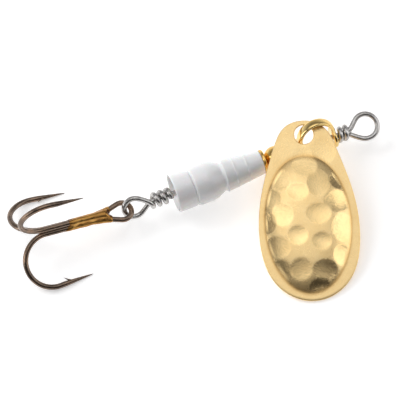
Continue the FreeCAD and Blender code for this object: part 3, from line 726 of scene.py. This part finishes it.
def barbGrid(roll, s):
    # a sliver lifted from the spear: a short curved path whose flat section narrows to a point
    front = s["spear"] - s["taper"] + s["barbRoot"]
    steps = np.linspace(0, 1, 14)
    along = front + 0.25 - (s["barbLength"] + 0.25) * steps
    lift = hookRadius * 0.35 + (hookRadius * 0.65 + s["barbRise"]) * steps ** 1.25
    path = inArm(*spearPlace(along, lift, s), roll)
    return wireGrid(path, 0.20 * (1 - steps) ** 0.7 + 0.012, 14, [(0.0, 0.0)], [(0.0, 0.0)], hookPlace)


def doubleGrids(s):
    leftLead, touch = eyeLead(1)
    rightLead, touch = eyeLead(-1)
    angle = np.radians(np.linspace(touch, -touch, 17))
    ring = eyeRadius * 1.004                # the spline runs that much inside its points
    eye = np.stack([-eyeRadius + ring * np.cos(angle), ring * np.sin(angle), np.full(len(angle), -eyeDrop)], -1)
    left = armPoints(-s["droop"], shankStart - 0.35, s)
    right = armPoints(s["droop"] - 180, shankStart - 0.35, s)
    path = smoothLine(np.concatenate([left, leftLead, eye, rightLead[::-1], right[::-1]]), s["perSpan"])
    point = [(0.03, 0.0)]
    wire = wireGrid(path, taperedRadii(path, s, True), s["sides"], point, point, hookPlace)
    return [wire, barbGrid(-s["droop"], s), barbGrid(s["droop"] - 180, s)]


def singleGrids(s):
    path = smoothLine(armPoints(90, shankStart - 1.2, s), s["perSpan"])
    flatEnd = [(0.0, 1.0), (0.04, 0.9), (0.05, 0.0)]
    wire = wireGrid(path, taperedRadii(path, s, False), s["sides"], [(0.03, 0.0)], flatEnd, hookPlace)
    return [wire, barbGrid(90, s)]


buildPiece("doubleHook", doubleGrids(hookSettings), "hook", ["hook_double"], hookFinish)
buildPiece("singleHook", singleGrids(hookSettings), "hook", ["hook_single"], hookFinish)
print("hooks made")

brazeSettings = dict(length=7.90, skin=0.04, noseOver=1.30, spread=0.50, steps=150, sides=120, seamFill=0.40)


def brazeGrid(s):
    # r(a) is the farthest of three circles, one round each shank, blended as k log(sum exp(r/k)),
    # which fills the seams between them
    nose = shankStart + s["noseOver"]
    t = np.linspace(0, 1, s["steps"])
    a = np.linspace(0, 2 * math.pi, s["sides"], endpoint=False)
    tailEdge = nose - s["length"] + 0.55 * np.sin(a + 0.6) + 0.22 * np.sin(3 * a)     # uneven where it stopped
    noseEdge = nose - 0.55 + 0.95 * np.cos(a) ** 2                              # runs up the eye's two legs
    x = tailEdge[None] + (noseEdge - tailEdge)[None] * t[:, None]
    swell = np.clip(t / 0.12, 0, 1) ** 0.5 * np.clip((1 - t) / 0.05, 0, 1) ** 0.5
    lumps = 0.016 * np.sin(2.1 * x + 2 * a[None]) + 0.012 * np.sin(3.3 * x - a[None] + 1.3)
    skin = (-0.05 + (s["skin"] + 0.05) * swell)[:, None] + lumps * swell[:, None]
    spread = 1 + s["spread"] * np.clip((x - shankStart + 3.0) / 4.3, 0, 1) ** 2.2      # a web between the legs
    rolls = np.radians([90.0, -30.0, -150.0])
    reaches = []
    for roll in rolls:
        off = a[None] - roll
        circle = hookRadius + skin
        inside = np.clip(circle ** 2 - (shankRadius * np.sin(off)) ** 2, 0, None)
        reaches.append(shankRadius * np.cos(off) + np.sqrt(inside))
    reaches = np.array(reaches)
    ordered = np.sort(reaches, 0)
    # painted shade mask: 1 in the seams, where two shank circles meet
    seamShadeMask = np.clip(1 - (ordered[2] - ordered[1]) / 0.22, 0, 1)
    fill = s["seamFill"] * (0.2 + 0.8 * swell[:, None])
    r = ordered[2] + fill * np.log(np.exp((reaches - ordered[2]) / fill).sum(0))
    points = np.stack([x, r * np.cos(a) * spread, r * np.sin(a)], -1)
    worn = np.clip(1 - t / 0.16, 0, 1) + np.clip((t - 0.97) / 0.03, 0, 1)
    marks = np.stack([seamShadeMask * 0.5, worn[:, None] + 0 * r, 0 * r], -1)
    first = points[:1].mean(1, keepdims=True) + 0 * points[:1]
    last = points[-1:].mean(1, keepdims=True) + 0 * points[-1:]
    return {"points": hookPlace(np.concatenate([first, points, last])),
            "marks": np.concatenate([marks[:1], marks, marks[-1:]])}


buildPiece("hookBraze", [brazeGrid(brazeSettings)], "hook", ["hook_braze"], brazeFinish)
print("braze made")

stageSettings = dict(azimuth=-21.2, elevation=66.0, distance=450.0, frameWidth=69.64,
                     seen=(10.0, 0.0, 0.0), offRight=-4.86, offUp=-4.51)   # frameWidth in mm, at that distance


def makeFloor():
    material, tree, shader = newMaterial("paleFloor")
    clouds = noiseOn(tree, objectPlace(tree), 8.0, 3.0)
    tree.links.new(ramp(tree, clouds, [(0.3, (0.90, 0.90, 0.90)), (0.7, (0.93, 0.93, 0.93))]),
                   shader.inputs["Base Color"])
    shader.inputs["Roughness"].default_value = 0.9
    shader.inputs["Specular IOR Level"].default_value = 0.1
    shader.inputs["Emission Color"].default_value = (1, 1, 1, 1)
    shader.inputs["Emission Strength"].default_value = 0.44
    mesh = bpy.data.meshes.new("paleFloor")
    wide = 1.5
    corners = [(-wide, -wide, 0), (wide, -wide, 0), (wide, wide, 0), (-wide, wide, 0)]
    mesh.from_pydata(corners, [], [(0, 1, 2, 3)])
    mesh.materials.append(material)
    floor = bpy.data.objects.new("paleFloor", mesh)
    bpy.context.scene.collection.objects.link(floor)


def areaLight(name, place, target, size, power, glossy=True, diffuse=True):
    light = bpy.data.lights.new(name, "AREA")
    light.shape = "RECTANGLE"
    light.size, light.size_y = size
    light.energy = power
    lamp = bpy.data.objects.new(name, light)
    lamp.location = place
    lamp.rotation_euler = (Vector(target) - Vector(place)).to_track_quat("-Z", "Y").to_euler()
    lamp.visible_glossy = glossy
    lamp.visible_diffuse = diffuse
    bpy.context.scene.collection.objects.link(lamp)


def makeWorld():
    world = bpy.data.worlds.new("softRoom")
    bpy.context.scene.world = world
    world.use_nodes = True
    tree = world.node_tree
    place = tree.nodes.new("ShaderNodeTexCoord").outputs["Generated"]
    parts = tree.nodes.new("ShaderNodeSeparateXYZ")
    tree.links.new(place, parts.inputs["Vector"])
    shade = ramp(tree, parts.outputs["Z"], [(0.0, (0.85, 0.85, 0.85)), (0.28, (0.55, 0.55, 0.56)),
                                            (0.55, (0.16, 0.16, 0.17)), (0.80, (0.34, 0.34, 0.35))])
    front = ramp(tree, ranged(tree, parts.outputs["Y"], 0.0, 1.0, -1.0, 1.0),
                 [(0.10, (0.14, 0.13, 0.12)), (0.34, (0.50, 0.49, 0.48)), (0.62, (1.0, 1.0, 1.0))])
    tree.links.new(mixed(tree, "MULTIPLY", shade, front), tree.nodes["Background"].inputs["Color"])
    tree.nodes["Background"].inputs["Strength"].default_value = 1.0


def makeCamera(s):
    a, e = math.radians(s["azimuth"]), math.radians(s["elevation"])
    back = np.array([math.sin(a) * math.cos(e), -math.cos(a) * math.cos(e), math.sin(e)])
    right = np.array([math.cos(a), math.sin(a), 0.0])
    up = np.cross(back, right)
    target = fromMouth(s["seen"]) + (right * s["offRight"] + up * s["offUp"]) * mm
    camera = bpy.data.cameras.new("camera")
    camera.sensor_width = 36.0
    camera.lens = 36.0 * s["distance"] / s["frameWidth"]
    camera.clip_start = 0.01
    view = bpy.data.objects.new("camera", camera)
    view.location = target + back * s["distance"] * mm
    view.rotation_euler = Vector(-back).to_track_quat("-Z", "Y").to_euler()
    bpy.context.scene.collection.objects.link(view)
    bpy.context.scene.camera = view


makeFloor()
makeWorld()
for number, side in enumerate((0.24, 0.44, 0.70)):
    # three sheets, one above the other, so that the middle of the softbox is the brightest
    areaLight("overhead%d" % number, (0.0, 0.07, 0.56 + 0.01 * number), (0, 0, 0), (side, side),
              0.40 * math.pi * side * side)
areaLight("leftStrip", (-0.55, 0.05, 0.22), (0, 0, 0), (0.16, 0.50), 0.80, diffuse=False)
areaLight("rightWall", (0.52, -0.20, 0.34), (0, 0, 0), (0.42, 0.60), 1.10, diffuse=False)
areaLight("fill", (-0.40, 0.50, 0.45), (0, 0, 0), (0.5, 0.5), 3.8, glossy=False)
makeCamera(stageSettings)
bpy.context.scene.view_settings.view_transform = "Standard"
print("stage made")
